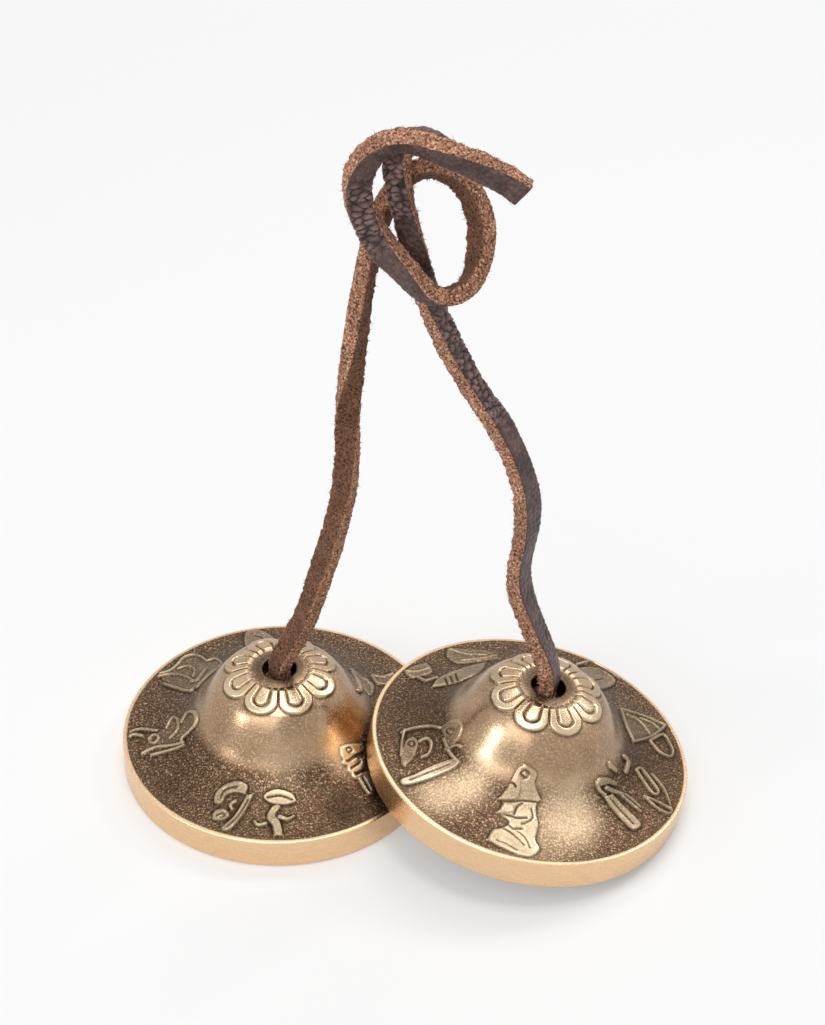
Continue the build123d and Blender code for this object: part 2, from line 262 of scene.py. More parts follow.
class Recipe:
    """Builds a material's nodes one after another."""

    def __init__(self, name):
        self.material = bpy.data.materials.new(name)
        self.material.use_nodes = True
        self.tree = self.material.node_tree
        self.shader = self.tree.nodes["Principled BSDF"]

    def add(self, kind, inputs, output=0, **settings):
        node = self.tree.nodes.new(kind)
        for key, value in settings.items():
            setattr(node, key, value)
        for key, value in inputs.items():
            self.give(node, key, value)
        return node.outputs[output]

    def give(self, node, key, value):
        socket = node.inputs[key]
        if isinstance(value, bpy.types.NodeSocket):
            self.tree.links.new(value, socket)
        elif hasattr(value, "__len__") and len(value) == 3 and socket.type == "RGBA":
            socket.default_value = (*value, 1)
        else:
            socket.default_value = value

    def stored(self, name):
        return self.add("ShaderNodeAttribute", {}, "Fac", attribute_name=name)

    def noise(self, vector, scale, detail=2.0, roughness=0.5):
        return self.add("ShaderNodeTexNoise", {
            "Vector": vector, "Scale": scale, "Detail": detail, "Roughness": roughness})

    def between(self, value, low, high, to_low=0.0, to_high=1.0):
        return self.add("ShaderNodeMapRange", {
            "Value": value, "From Min": low, "From Max": high, "To Min": to_low, "To Max": to_high})

    def mix(self, share, first, second, blend="MIX"):
        return self.add(
            "ShaderNodeMix", {0: share, 6: first, 7: second}, 2, data_type="RGBA", blend_type=blend)

    def sum(self, operation, first, second):
        return self.add("ShaderNodeMath", {0: first, 1: second}, operation=operation)

    def finish(self, **inputs):
        for key, value in inputs.items():
            self.give(self.shader, key, value)
        return self.material


def bronze_finish(finish):
    """Cast bronze: dark sandy ground with painted glints, rubbed bell with turning lines and painted
    highlights, bright relief, painted shade in its recesses and a turned rim.
    """
    made = bpy.data.materials.get("cast_bronze")
    if made:
        return made
    recipe = Recipe("cast_bronze")
    spot = recipe.add("ShaderNodeAttribute", {}, "Vector", attribute_name="cast_spot")
    polish, crevice = recipe.stored("polish"), recipe.stored("crevice")
    bell, rim, run, rub = (recipe.stored(name) for name in ("bell", "rim", "run", "rub"))
    sand = recipe.noise(spot, 2600.0, 2.0, 0.65)
    cloud = recipe.noise(spot, 110.0, 4.0, 0.6)
    lathe = recipe.add(
        "ShaderNodeTexNoise", {"W": run, "Scale": 5200.0, "Detail": 3.0}, noise_dimensions="1D")
    drawn = recipe.add("ShaderNodeMapping", {"Vector": spot, "Scale": (1, 1, 16)})
    scratch = recipe.noise(drawn, 420.0, 5.0, 0.75)
    grit_and_glint = recipe.sum("ADD", sand, recipe.sum("MULTIPLY", rub, 0.14))
    olive = tuple(finish.patina)
    gold = tuple(0.5 * (a + b) for a, b in zip(finish.bronze, finish.bright))
    mauve = (olive[0], 0.88 * olive[1], olive[2])
    ground = recipe.mix(recipe.between(cloud, 0.38, 0.62), olive, mauve)
    # Dark and bright specks of the sand-cast ground; the bright specks are partly painted glints
    ground = recipe.mix(recipe.between(grit_and_glint, 0.48, 0.3), ground, tuple(0.3 * c for c in olive))
    ground = recipe.mix(recipe.between(grit_and_glint, 0.53, 0.68), ground, tuple(0.95 * c for c in finish.bronze))
    ground = recipe.mix(recipe.between(grit_and_glint, 0.66, 0.78), ground, tuple(finish.bright))
    # Painted highlight and rubbing: the ground turns gold in the rubbed and lit spots
    ground = recipe.mix(recipe.between(rub, 0.15, 1.1, 0.0, 0.6), ground, gold)
    bell_bronze = recipe.mix(recipe.between(cloud, 0.35, 0.65), tuple(finish.bronze),
                        tuple(0.7 * c for c in finish.bronze))
    bell_bronze = recipe.mix(recipe.between(lathe, 0.35, 0.7, 0.0, 0.35), bell_bronze,
                        tuple(0.6 * c for c in finish.bronze))
    # Bright sand specks on the bell, partly painted glints
    bell_bronze = recipe.mix(recipe.between(sand, 0.5, 0.7, 0.0, 0.45), bell_bronze, tuple(finish.bright))
    # Painted highlight and rubbing: the bell turns bright in the rubbed and lit spots
    bell_bronze = recipe.mix(recipe.between(rub, 0.1, 1.0, 0.0, 0.6), bell_bronze, tuple(finish.bright))
    colour = recipe.mix(bell, ground, bell_bronze)
    colour = recipe.mix(polish, colour, tuple(finish.bright))
    # Painted shade: recesses round the relief, the hollow round the hole and the hole's wall are darkened
    colour = recipe.mix(crevice, colour, tuple(0.16 * c for c in finish.patina))
    turned = recipe.mix(recipe.between(scratch, 0.4, 0.68), tuple(finish.rim),
                        tuple(0.82 * c for c in finish.rim))
    colour = recipe.mix(rim, colour, turned)
    smooth = recipe.sum("MAXIMUM", recipe.sum("MAXIMUM", bell, polish), rim)
    rough = recipe.between(sand, 0.3, 0.7, 0.36, 0.56)
    rough = recipe.sum("SUBTRACT", rough, recipe.sum("MULTIPLY", smooth, 0.22))
    relief = recipe.sum("MULTIPLY", sand, recipe.between(smooth, 0.0, 1.0, 1.0, 0.16))
    relief = recipe.sum("ADD", relief, recipe.sum("MULTIPLY", recipe.sum("MULTIPLY", scratch, rim), 0.4))
    relief = recipe.sum("ADD", relief, recipe.sum("MULTIPLY", recipe.sum("MULTIPLY", lathe, bell), 0.18))
    bump = recipe.add("ShaderNodeBump", {"Height": relief, "Strength": 0.6, "Distance": 0.00014})
    return recipe.finish(**{"Base Color": colour, "Metallic": 1.0, "Roughness": rough, "Normal": bump})


def grain_finish(finish):
    """Dyed and glazed grain side of the leather: dark pebbles with painted highlights on their tops and
    darker creases.
    """
    made = bpy.data.materials.get("lace_grain")
    if made:
        return made
    recipe = Recipe("lace_grain")
    spot = recipe.add("ShaderNodeTexCoord", {}, "Object")
    crease = recipe.stored("crease")
    pores = recipe.noise(spot, 2400.0, 3.0, 0.6)
    cloud = recipe.noise(spot, 300.0, 3.0, 0.6)
    mauve = tuple(2.7 * c + 0.014 for c in finish.grain)
    skin = recipe.mix(recipe.between(cloud, 0.36, 0.68), tuple(finish.grain), mauve)
    skin = recipe.mix(recipe.between(pores, 0.56, 0.72, 0.0, 0.5), skin, tuple(1.6 * c for c in mauve))
    # Painted highlights: paler pebble tops where the creased grain bulges
    top_highlight = recipe.sum("MULTIPLY", recipe.between(crease, -0.15, -0.8, 0.0, 0.7),
                      recipe.between(cloud, 0.38, 0.6, 0.3, 1.0))
    skin = recipe.mix(top_highlight, skin, tuple(1.7 * c + 0.09 for c in mauve))
    skin = recipe.mix(recipe.between(crease, 0.0, 1.0), skin, tuple(0.12 * c for c in finish.grain))
    rough = recipe.between(pores, 0.3, 0.7, 0.26, 0.46)
    bump = recipe.add("ShaderNodeBump", {"Height": pores, "Strength": 0.4, "Distance": 0.0002})
    return recipe.finish(**{
        "Base Color": skin, "Roughness": rough, "Normal": bump, "Specular IOR Level": 0.4})


def suede_finish(finish):
    """Raw leather: fibrous tan where the strip is cut, browner on its flesh side."""
    made = bpy.data.materials.get("lace_suede")
    if made:
        return made
    recipe = Recipe("lace_suede")
    spot = recipe.add("ShaderNodeTexCoord", {}, "Object")
    raw, flesh = recipe.stored("raw"), recipe.stored("flesh")
    fibre = recipe.noise(spot, 2300.0, 3.0, 0.7)
    cloud = recipe.noise(spot, 260.0, 3.0, 0.6)
    cut = recipe.mix(recipe.between(fibre, 0.4, 0.48), tuple(0.17 * c for c in finish.edge),
                     tuple(finish.edge))
    cut = recipe.mix(recipe.between(fibre, 0.55, 0.63), cut,
                     tuple(min(1.0, 1.6 * c + 0.22) for c in finish.edge))
    inner = recipe.mix(recipe.between(fibre, 0.4, 0.5), tuple(0.2 * c for c in finish.flesh),
                       tuple(finish.flesh))
    inner = recipe.mix(recipe.between(fibre, 0.6, 0.72), inner, tuple(finish.edge))
    colour = recipe.mix(flesh, cut, inner)
    colour = recipe.mix(1.0, colour, recipe.between(cloud, 0.3, 0.7, 0.72, 1.2), "MULTIPLY")
    colour = recipe.mix(raw, colour, tuple(0.3 * c for c in finish.edge))
    bump = recipe.add("ShaderNodeBump", {"Height": fibre, "Strength": 0.8, "Distance": 0.0003})
    return recipe.finish(**{
        "Base Color": colour, "Roughness": 0.95, "Normal": bump, "Specular IOR Level": 0.1,
        "Sheen Weight": 0.08})


def fair_curve(points, first, last, count):
    """Points along a smooth curve through some points, with set directions at its two ends."""
    points = np.array(points, float)
    knots = np.concatenate([[0], np.cumsum(np.hypot(*np.diff(points, axis=0).T))])
    size = len(points)
    system, right = np.zeros((size, size)), np.zeros((size, 2))
    system[0, 0] = system[-1, -1] = 1
    right[0] = np.array(first) / np.hypot(*first)
    right[-1] = np.array(last) / np.hypot(*last)
    gaps = np.diff(knots)
    slopes = np.diff(points, axis=0) / gaps[:, None]
    for i in range(1, size - 1):
        system[i, i - 1:i + 2] = gaps[i], 2 * (gaps[i - 1] + gaps[i]), gaps[i - 1]
        right[i] = 3 * (gaps[i] * slopes[i - 1] + gaps[i - 1] * slopes[i])
    tangents = np.linalg.solve(system, right)
    along = np.linspace(0, knots[-1], count)
    piece = np.clip(np.searchsorted(knots, along, "right") - 1, 0, size - 2)
    h = gaps[piece][:, None]
    t = ((along - knots[piece]) / gaps[piece])[:, None]
    return ((1 + 2 * t) * (1 - t) ** 2 * points[piece] + t * (1 - t) ** 2 * h * tangents[piece]
            + t * t * (3 - 2 * t) * points[piece + 1] + t * t * (t - 1) * h * tangents[piece + 1])


def cymbal_outline(sizes):
    """The turned outline in mm, from the hole's foot over the crown and back, and its crown and rim."""
    rim, high, hole = sizes.rim_radius / MM, sizes.bell_height / MM, sizes.hole_radius / MM
    edge = sizes.rim_height / MM
    foot, soft = high - 3.6, 0.4
    wall = np.array([(hole, z) for z in np.linspace(foot, high - soft - 0.1, 6)])
    turn = np.linspace(math.pi, math.pi / 2, 5)
    mouth = np.stack([hole + soft + soft * np.cos(turn), high - soft - 0.1 + soft * np.sin(turn)], axis=1)
    middle, last = np.array((7.66, 22.95)), np.array(WALL[0])
    cap = fair_curve([mouth[-1], middle, last], (1, -0.12), (1, -0.52), 42)
    bell = fair_curve(WALL, (1, -0.74), (1, -0.06), 146)
    lip = np.stack([np.linspace(30.7, rim - soft, 9), np.linspace(6.59, edge, 9)], axis=1)
    turn = np.linspace(math.pi / 2, 0, 6)[1:]
    top_round = np.stack([rim - soft + soft * np.cos(turn), edge - soft + soft * np.sin(turn)], axis=1)
    side = np.array([(rim, z) for z in np.linspace(edge - soft, soft, 8)[1:-1]])
    turn = np.linspace(0, -math.pi / 2, 6)
    low_round = np.stack([rim - soft + soft * np.cos(turn), soft + soft * np.sin(turn)], axis=1)
    face = np.array([(r, 0) for r in np.linspace(rim - soft, 24, 10)[1:-1]])
    hollow = fair_curve(HOLLOW, (-1, 0.25), (-1, 0.1), 34)
    roof = np.array([(r, foot) for r in np.linspace(6, hole, 6)[1:-1]])
    crown = np.concatenate([mouth[1:], cap[1:], bell[1:], lip])
    before = len(wall)
    outline = np.concatenate([wall, crown, top_round, side, low_round, face, hollow, roof])
    return outline, slice(before, before + len(crown)), slice(before + len(crown), before + len(crown) + 17)


def soft_line(points, closed=False):
    """A drawn line made smooth; a point given twice keeps its corner."""
    points = np.array(points, float)
    around = np.concatenate([points[-1:], points, points[:2]]) if closed else np.concatenate(
        [points[:1], points, points[-1:]])
    t = np.linspace(0, 1, 7)[:-1, None]
    out = []
    for a, b, c, d in zip(around, around[1:], around[2:], around[3:]):
        out.append(0.5 * (2 * b + (c - a) * t + (2 * a - 5 * b + 4 * c - d) * t ** 2
                          + (3 * b - a - 3 * c + d) * t ** 3))
    line = np.concatenate(out)
    return np.concatenate([line, line[:1] if closed else points[-1:]])


def line_gap(u, v, line):
    """Distance from each place to a drawn line, and how far along the line its nearest point is."""
    a, b = line[:-1], line[1:]
    run = b - a
    size = np.maximum((run ** 2).sum(axis=1), 1e-12)
    pu, pv = u[:, None] - a[:, 0], v[:, None] - a[:, 1]
    t = np.clip((pu * run[:, 0] + pv * run[:, 1]) / size, 0, 1)
    gap = np.hypot(pu - t * run[:, 0], pv - t * run[:, 1])
    best = gap.argmin(axis=1)
    rows = np.arange(len(u))
    return gap[rows, best], (best + t[rows, best]) / len(run)


def plate_gap(u, v, outline):
    """Distance from each place to a closed outline, below zero inside it."""
    gap, _ = line_gap(u, v, outline)
    a, b = outline[:-1], outline[1:]
    crosses = (a[:, 1] > v[:, None]) != (b[:, 1] > v[:, None])
    rise = np.where(np.abs(b[:, 1] - a[:, 1]) < 1e-9, 1e-9, b[:, 1] - a[:, 1])
    at = a[:, 0] + (v[:, None] - a[:, 1]) / rise * (b[:, 0] - a[:, 0])
    inside = (crosses & (u[:, None] < at)).sum(axis=1) % 2 == 1
    return np.where(inside, -gap, gap)


# Figures of the flanges in the plan of each cymbal, in mm. A plate is a filled outline of some height, a rib
# is a line with a half width at each end, and a nick is a line of some half width cut into what stands there.
LEFT_FIGURES = [
    ("plate", 1.0, [(-12.5, -20.3), (-10.7, -18.8), (-8.1, -18.5), (-6.1, -19.6), (-6.5, -21.3),
        (-6.5, -21.3), (-8.5, -20.7), (-10.3, -21.1), (-11.1, -22.7), (-12.7, -22.3)]),
    ("nick", 0.15, [(-11.5, -21.4), (-10.5, -19.9), (-8.3, -19.6)]),
    ("plate", 1.0, [(-6.3, -21.4), (-6.3, -21.4), (-4.7, -21.1), (-4.7, -21.1), (-6.6, -25.0), (-9.4, -29.0),
        (-11.2, -28.6), (-8.6, -25.6)]),
    ("nick", 0.13, [(-5.9, -22.5), (-7.8, -25.8), (-10.0, -28.2)]),
    ("plate", 1.0, [(-12.6, -24.3), (-10.6, -24.0), (-9.6, -25.7), (-11.2, -26.5), (-13.0, -26.1)]),
    ("nick", 0.14, [(-12.2, -25.4), (-11.0, -25.0), (-10.6, -25.7), (-11.4, -26.0)]),
    ("rib", 0.45, 0.3, [(-8.5, -22.5), (-9.5, -23.3), (-9.0, -24.2)]),
    ("plate", 1.0, [(-2.9, -21.7), (-0.5, -20.6), (2.7, -21.3), (3.8, -22.9), (3.8, -22.9), (1.6, -23.7),
        (-1.5, -23.3)]),
    ("nick", 0.14, [(-2.1, -22.2), (0.5, -21.9), (2.8, -22.6)]),
    ("plate", 1.0, [(-1.0, -23.9), (0.6, -24.0), (-0.4, -26.0), (0.6, -27.5), (1.2, -30.6), (1.2, -30.6),
        (-0.6, -30.6), (-0.6, -30.6), (-1.0, -28.2), (-2.2, -26.3)]),
    ("rib", 0.5, 0.3, [(0.4, -26.2), (2.0, -26.7), (3.2, -26.0)]),
    ("rib", 0.45, 0.3, [(-2.4, -27.7), (-3.8, -28.0), (-4.6, -27.1)]),
    ("plate", 0.8, [(-8.5, 29.5), (-5.1, 30.4), (-2.0, 26.3), (-3.5, 22.0), (-7.4, 21.7)]),
    ("nick", 0.16, [(-6.6, 28.5), (-4.6, 26.9), (-4.3, 22.7)]),
    ("plate", 0.4, [(-25.9, 17.0), (-23.8, 17.8), (-22.0, 20.4), (-20.5, 22.3), (-18.4, 22.4), (-16.3, 19.8),
        (-14.4, 19.5), (-12.8, 16.7), (-12.8, 16.7), (-14.5, 13.9), (-16.0, 11.2), (-18.3, 8.0), (-18.3, 8.0),
        (-21.0, 10.7), (-23.9, 13.4)]),
    ("rib", 0.3, 0.3, [(-25.9, 17.0), (-23.8, 17.8), (-22.5, 19.4), (-21.2, 21.8), (-19.2, 22.6),
        (-17.4, 21.5), (-16.1, 19.4)]),
    ("rib", 0.34, 0.3, [(-15.8, 19.6), (-14.1, 19.6), (-12.8, 16.7), (-14.0, 14.0), (-15.8, 11.3),
        (-17.6, 8.5)]),
    ("rib", 0.3, 0.28, [(-26.1, 16.2), (-23.4, 16.5), (-20.4, 14.7), (-18.5, 12.0)]),
    ("rib", 0.32, 0.3, [(-24.6, 13.3), (-21.6, 10.7), (-19.0, 8.3), (-18.0, 9.0)]),
    ("rib", 0.3, 0.28, [(-22.1, 18.1), (-20.0, 18.5), (-18.5, 16.6), (-18.7, 13.9)]),
    ("rib", 0.5, 0.4, [(-18.8, 11.9), (-17.5, 12.0), (-16.2, 16.0)]),
    ("plate", 0.35, [(-28.0, -7.7), (-28.0, -7.7), (-26.9, -3.6), (-25.4, -2.3), (-23.4, -1.1), (-22.2, 0.9),
        (-20.5, 0.2), (-18.6, 0.4), (-17.0, -2.3), (-17.3, -4.5), (-19.7, -5.9), (-19.6, -7.6),
        (-22.4, -7.7)]),
    ("rib", 0.34, 0.3, [(-28.1, -7.2), (-25.5, -6.2), (-22.8, -6.6), (-19.7, -7.0)]),
    ("rib", 0.3, 0.28, [(-26.9, -3.6), (-25.9, -2.6), (-24.9, -3.7), (-25.6, -5.0), (-26.8, -4.3)]),
    ("rib", 0.3, 0.3, [(-23.4, -1.4), (-22.3, 1.0), (-21.1, -0.2), (-21.0, -3.1), (-22.5, -4.6)]),
    ("rib", 0.36, 0.32, [(-20.2, -1.3), (-18.9, 0.3), (-17.4, -1.4), (-17.1, -4.2), (-19.7, -5.6),
        (-20.0, -6.6)]),
    ("rib", 0.3, 0.3, [(-26.2, -8.1), (-22.4, -7.9), (-19.5, -7.7)]),
    ("rib", 0.4, 0.3, [(-30.9, -1.9), (-29.9, -1.5), (-28.4, -2.2)]),
    ("rib", 0.25, 0.22, [(-31.0, -0.8), (-29.0, -0.0), (-25.4, -1.5)]),
    ("plate", 0.6, [(14.1, 14.6), (16.4, 12.7), (18.9, 10.5), (18.1, 5.3), (15.6, 9.6)]),
    ("rib", 0.34, 0.3, [(14.1, 14.2), (15.9, 11.2), (17.4, 11.5)]),
    ("rib", 0.34, 0.3, [(14.4, 12.8), (16.1, 5.9), (15.7, 2.7)]),
    ("rib", 0.3, 0.3, [(16.5, 11.9), (18.1, 9.8), (18.4, 7.0)]),
    ("plate", 0.6, [(18.4, 14.2), (23.0, 16.2), (21.8, 12.9), (19.7, 11.8)]),
    ("rib", 0.36, 0.3, [(18.5, 14.4), (20.5, 14.5), (22.7, 16.4)]),
    ("rib", 0.3, 0.3, [(18.5, 14.4), (19.6, 11.7), (21.5, 12.2)]),
    ("plate", 0.9, [(12.3, -11.9), (12.3, -11.9), (14.4, -10.2), (16.6, -8.9), (16.6, -8.9), (16.9, -10.1),
        (15.1, -11.9), (13.5, -13.5), (12.6, -13.2)]),
    ("nick", 0.16, [(14.6, -11.2), (14.3, -11.6), (13.8, -11.9), (13.5, -11.6), (13.8, -11.2), (14.3, -11.0),
        (14.6, -11.2)]),
    ("plate", 0.9, [(13.8, -14.5), (15.5, -12.7), (17.1, -11.6), (17.1, -11.6), (16.8, -14.2),
        (14.5, -15.6)]),
    ("nick", 0.15, [(14.5, -14.7), (15.9, -13.4), (16.3, -12.8)]),
    ("plate", 0.9, [(15.9, -16.2), (17.3, -14.7), (18.7, -14.1), (18.7, -14.1), (19.2, -18.8), (18.0, -19.7),
        (18.0, -19.7), (16.7, -17.9)]),
    ("nick", 0.15, [(16.9, -16.1), (17.7, -17.5), (18.3, -18.8)]),
    ("rib", 0.4, 0.3, [(13.1, -14.0), (14.1, -13.9), (15.5, -12.5)]),
    ("rib", 0.4, 0.3, [(14.9, -15.8), (15.5, -16.3), (16.7, -15.3)]),
]
RIGHT_FIGURES = [
    ("plate", 0.8, [(-4.0, -15.0), (-2.2, -15.4), (-0.9, -16.0), (-1.0, -17.0), (0.6, -19.1), (0.6, -19.1),
        (-0.2, -20.0), (0.0, -21.8), (0.5, -23.8), (-0.0, -26.8), (0.9, -28.8), (-0.1, -30.5), (-1.5, -31.2),
        (-4.0, -30.6), (-6.3, -29.6), (-8.1, -28.8), (-9.4, -27.9), (-9.4, -27.9), (-8.4, -25.7),
        (-6.2, -24.9), (-5.4, -23.5), (-7.8, -21.9), (-7.8, -21.9), (-6.7, -20.0), (-7.8, -19.3),
        (-7.8, -19.3), (-6.3, -17.6), (-5.0, -15.5)]),
    ("plate", 1.0, [(-4.2, -15.3), (-6.0, -17.7), (-7.4, -19.2), (-7.4, -19.2), (-6.3, -19.4), (-4.3, -19.4),
        (-3.5, -18.3), (-3.7, -16.7)]),
    ("plate", 1.0, [(-6.5, -20.2), (-6.5, -20.2), (-7.4, -21.9), (-7.4, -21.9), (-5.6, -21.9), (-4.5, -21.6),
        (-4.7, -20.4)]),
    ("plate", 1.0, [(-8.9, -27.7), (-8.2, -26.1), (-6.3, -25.5), (-4.7, -26.5), (-3.5, -27.8), (-4.4, -29.0),
        (-6.6, -28.8)]),
    ("nick", 0.17, [(-4.0, -15.8), (-3.3, -15.6), (-2.4, -16.0), (-3.0, -16.4), (-3.7, -16.0),
        (-4.0, -15.8)]),
    ("nick", 0.14, [(-5.9, -16.8), (-5.1, -17.0), (-4.5, -17.5)]),
    ("nick", 0.16, [(-7.7, -19.6), (-5.5, -19.8), (-2.9, -19.6), (0.3, -19.6)]),
    ("nick", 0.14, [(-4.4, -22.2), (-3.9, -20.7), (-2.9, -20.0)]),
    ("nick", 0.16, [(-7.4, -22.2), (-5.2, -22.5), (-3.6, -22.8), (-1.8, -22.6)]),
    ("nick", 0.13, [(-1.1, -20.8), (-0.7, -22.4), (-1.8, -23.5), (-2.8, -24.0)]),
    ("nick", 0.16, [(-5.6, -24.0), (-4.4, -25.1), (-2.6, -24.9)]),
    ("nick", 0.15, [(-6.3, -25.2), (-4.1, -26.5), (-2.2, -28.4)]),
    ("nick", 0.13, [(-3.5, -25.6), (-2.1, -26.7), (-1.0, -28.9)]),
    ("nick", 0.12, [(-7.6, -28.1), (-5.6, -28.7), (-3.6, -29.8)]),
    ("plate", 1.0, [(-26.7, -14.6), (-23.9, -13.1), (-20.6, -11.3), (-17.5, -10.5), (-15.7, -10.8),
        (-15.7, -10.8), (-15.9, -12.1), (-19.1, -13.5), (-22.9, -15.0), (-25.8, -15.8)]),
    ("nick", 0.14, [(-24.8, -14.6), (-21.1, -12.8), (-17.4, -11.5)]),
    ("rib", 0.3, 0.28, [(-26.6, -1.8), (-24.1, -0.7), (-21.3, -0.9), (-19.3, -2.3)]),
    ("plate", 0.7, [(-19.3, -2.4), (-19.3, -2.4), (-17.5, -1.6), (-16.2, -2.6), (-16.2, -2.6), (-15.6, -4.9),
        (-16.1, -6.9), (-17.4, -7.4), (-18.3, -5.7)]),
    ("nick", 0.17, [(-16.9, -4.6), (-17.3, -5.0), (-17.9, -4.6), (-18.3, -3.8), (-18.0, -3.4), (-17.4, -3.8),
        (-16.9, -4.6)]),
    ("plate", 0.75, [(-26.7, -9.4), (-26.0, -4.8), (-24.5, -3.3), (-23.4, -5.0), (-24.0, -8.4),
        (-25.7, -10.8)]),
    ("nick", 0.17, [(-24.1, -5.2), (-24.3, -5.8), (-25.0, -5.7), (-25.3, -5.0), (-25.0, -4.4), (-24.4, -4.5),
        (-24.1, -5.2)]),
    ("rib", 0.4, 0.3, [(-23.0, -4.6), (-21.7, -4.2), (-20.9, -5.8), (-21.3, -8.2), (-22.6, -8.8)]),
    ("rib", 0.34, 0.3, [(-18.6, -5.5), (-17.5, -8.8), (-15.7, -11.5)]),
    ("rib", 0.3, 0.26, [(-18.2, -8.0), (-16.4, -7.9), (-15.5, -8.7)]),
    ("rib", 0.3, 0.26, [(-26.0, -1.0), (-26.5, -4.1), (-26.7, -8.1)]),
    ("plate", 0.65, [(-16.7, 26.1), (-13.8, 26.5), (-8.1, 26.4), (-6.4, 23.8), (-6.4, 23.8), (-10.0, 22.1),
        (-14.6, 20.8), (-16.9, 22.9)]),
    ("rib", 0.34, 0.28, [(-16.4, 26.0), (-12.9, 24.5), (-8.8, 24.6)]),
    ("rib", 0.34, 0.28, [(-14.1, 21.8), (-9.9, 23.0), (-6.9, 24.8)]),
    ("plate", 0.65, [(-25.5, 17.7), (-23.8, 19.5), (-21.2, 20.7), (-21.2, 20.7), (-20.3, 17.5), (-23.8, 15.4),
        (-25.7, 16.5)]),
    ("rib", 0.3, 0.28, [(-25.7, 17.4), (-23.3, 17.4), (-20.7, 18.9)]),
    ("rib", 0.35, 0.3, [(-23.3, 15.7), (-21.6, 14.3), (-19.4, 15.2)]),
    ("nick", 0.16, [(-17.9, 14.8), (-17.5, 11.8)]),
    ("nick", 0.16, [(-16.8, 15.3), (-16.5, 12.1)]),
    ("nick", 0.16, [(-15.7, 16.0), (-15.5, 12.4)]),
    ("plate", 0.35, [(18.7, 12.6), (18.7, 12.6), (28.5, 12.1), (28.5, 12.1), (24.7, 6.6), (20.6, 2.4),
        (20.6, 2.4)]),
    ("rib", 0.32, 0.3, [(18.7, 12.6), (24.1, 13.1), (28.5, 12.1)]),
    ("rib", 0.3, 0.3, [(28.5, 12.1), (27.2, 9.9), (24.7, 6.6), (22.3, 4.2), (20.6, 2.4)]),
    ("rib", 0.3, 0.3, [(18.7, 12.6), (19.2, 6.5), (20.6, 2.4)]),
    ("rib", 0.28, 0.24, [(19.8, 11.1), (22.7, 10.5), (24.8, 7.5)]),
    ("rib", 0.26, 0.24, [(22.9, 11.8), (25.6, 11.5), (27.0, 10.2)]),
    ("rib", 0.32, 0.3, [(24.6, 5.3), (27.7, 8.8), (29.0, 6.7), (29.6, 4.3), (28.8, 2.5), (26.6, 2.9),
        (24.7, 5.1)]),
    ("plate", 1.0, [(13.7, -15.0), (13.7, -15.0), (15.4, -13.7), (15.4, -13.7), (21.5, -17.8), (20.7, -19.9),
        (20.7, -19.9), (19.1, -19.7)]),
    ("nick", 0.14, [(15.0, -14.8), (20.0, -18.7)]),
    ("rib", 0.36, 0.3, [(17.1, -12.9), (19.6, -14.0), (21.7, -15.1)]),
    ("rib", 0.3, 0.26, [(18.4, -12.5), (20.2, -13.2), (21.6, -14.1)]),
    ("rib", 0.3, 0.3, [(20.9, -5.2), (22.0, -4.2), (23.9, -5.9), (25.7, -8.5), (24.6, -9.6), (22.5, -7.3),
        (20.9, -5.2)]),
    ("rib", 0.2, 0.2, [(24.5, -4.3), (27.2, -7.7), (28.4, -12.5)]),
    ("rib", 0.3, 0.28, [(22.5, -11.1), (25.9, -11.5), (28.4, -12.5), (27.7, -13.8), (25.3, -13.0),
        (22.5, -11.1)]),
    ("rib", 0.6, 0.5, [(12.5, -13.0), (14.1, -11.9), (15.8, -11.4)]),
    ("rib", 0.5, 0.4, [(14.3, -13.2), (16.0, -13.0), (17.7, -12.7)]),
    ("rib", 0.55, 0.5, [(14.4, -9.1), (15.7, -8.9)]),
    ("rib", 0.5, 0.42, [(18.0, -4.3), (18.9, -4.7), (18.4, -7.4)]),
    ("rib", 0.4, 0.3, [(12.0, -13.5), (12.6, -14.3), (13.9, -14.5)]),
    ("plate", 1.0, [(-20.5, 11.8), (-20.5, 11.8), (-18.9, 15.0), (-13.7, 18.6), (-9.4, 20.8), (-9.4, 20.8),
        (-10.2, 17.5), (-12.9, 12.9), (-17.7, 11.9)]),
    ("plate", 0.8, [(9.3, 23.4), (14.2, 26.5), (18.5, 23.5), (15.2, 18.6), (10.7, 17.1)]),
    ("nick", 0.15, [(11.3, 23.3), (13.1, 21.0), (15.9, 23.1)]),
    ("rib", 0.35, 0.3, [(10.5, 26.6), (14.6, 28.6), (19.4, 24.6)]),
]
# Places where the flange is lightened, partly real rubbing and partly painted highlights where the lamps
# glint, or darkened where the amount is below zero: middle, reach, amount
LEFT_RUBS_AND_HIGHLIGHTS = [
    (12.5, -13.2, 5.0, 1.2), (13.0, -23.9, 5.0, -0.9), (1.0, -17.9, 7.0, 0.35), (-22.0, -18.2, 8.0, -0.3),
]
RIGHT_RUBS_AND_HIGHLIGHTS = [
    (-19.1, -17.6, 8.0, 0.9), (-12.8, -15.8, 5.0, 0.8), (7.2, -20.2, 7.5, 1.5), (-0.1, -26.5, 12.0, 0.5),
    (-9.8, -10.5, 4.5, 0.6), (4.0, -14.6, 3.5, -0.6), (-24.2, 5.0, 14.0, -0.35), (23.7, -1.2, 13.0, -0.4),
]


def petal_height(across, out, petals):
    """Height from 0 to 1 of the lotus: round lobes, each with a tongue inside it, open to the hole."""
    step = 2 * math.pi / petals
    angle = np.arctan2(across, out) % step - step / 2
    far = np.hypot(across, out)
    x, y = far * np.cos(angle), far * np.sin(angle)
    half = math.tan(step / 2)
    end = np.hypot((x - PETAL_MIDDLE) / PETAL_LONG, y / (PETAL_MIDDLE * half))
    level = np.where(x > PETAL_MIDDLE, end, np.abs(y) / (x * half))
    groove = np.exp(-((level - GROOVE_AT) / GROOVE_WIDE) ** 2)
    shape = smooth_step(1.0, 0.88, level) - 0.9 * groove
    return shape * smooth_step(PETAL_START, PETAL_FULL, far)


